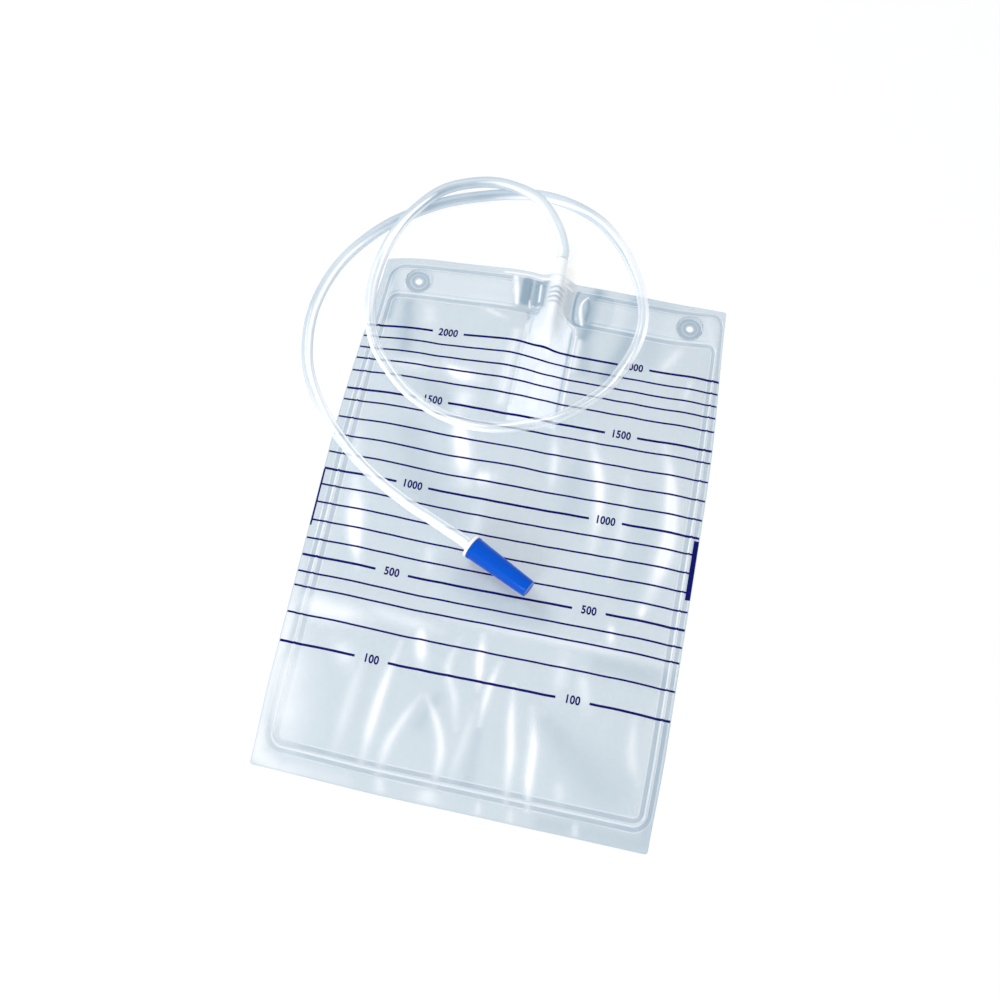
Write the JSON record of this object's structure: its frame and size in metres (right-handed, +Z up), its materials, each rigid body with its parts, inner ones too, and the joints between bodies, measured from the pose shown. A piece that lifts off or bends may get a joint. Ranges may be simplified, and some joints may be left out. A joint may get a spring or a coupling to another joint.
{
  "type": "urine drainage bag",
  "caption": "Flat clear plastic collection bag with a welded edge, a header with hanging eyelets, a long soft inlet tube in a loose loop and a tapered cap on its end.",
  "frame": {"origin": "on the table, under the middle of the two films", "axes": "+X across the bag towards the right edge in the picture, +Y along the bag towards its header, +Z up from the table through the printed front film"},
  "size_m": [0.2301, 0.3586, 0.0167],
  "materials": {
    "film": "clear flexible PVC with soft gloss",
    "valve_film": "thin milky film",
    "connector_plastic": "translucent white moulding",
    "tube": "clear flexible PVC tube",
    "cap": "glossy blue moulding"
  },
  "bodies": {
    "bag": {"back_film": "film", "front_film": "film", "valve_back_film": "valve_film", "valve_front_film": "valve_film", "inlet_connector": "connector_plastic", "drainage_tube": "tube", "catheter_connector": "connector_plastic"},
    "cap": {"protective_cap": "cap"}
  },
  "joints": [
    {"name": "cap_pull", "type": "slide", "parent": "bag", "child": "cap", "axis": [0.891, -0.454, 0], "range_m": [0, 0.04]}
  ]
}
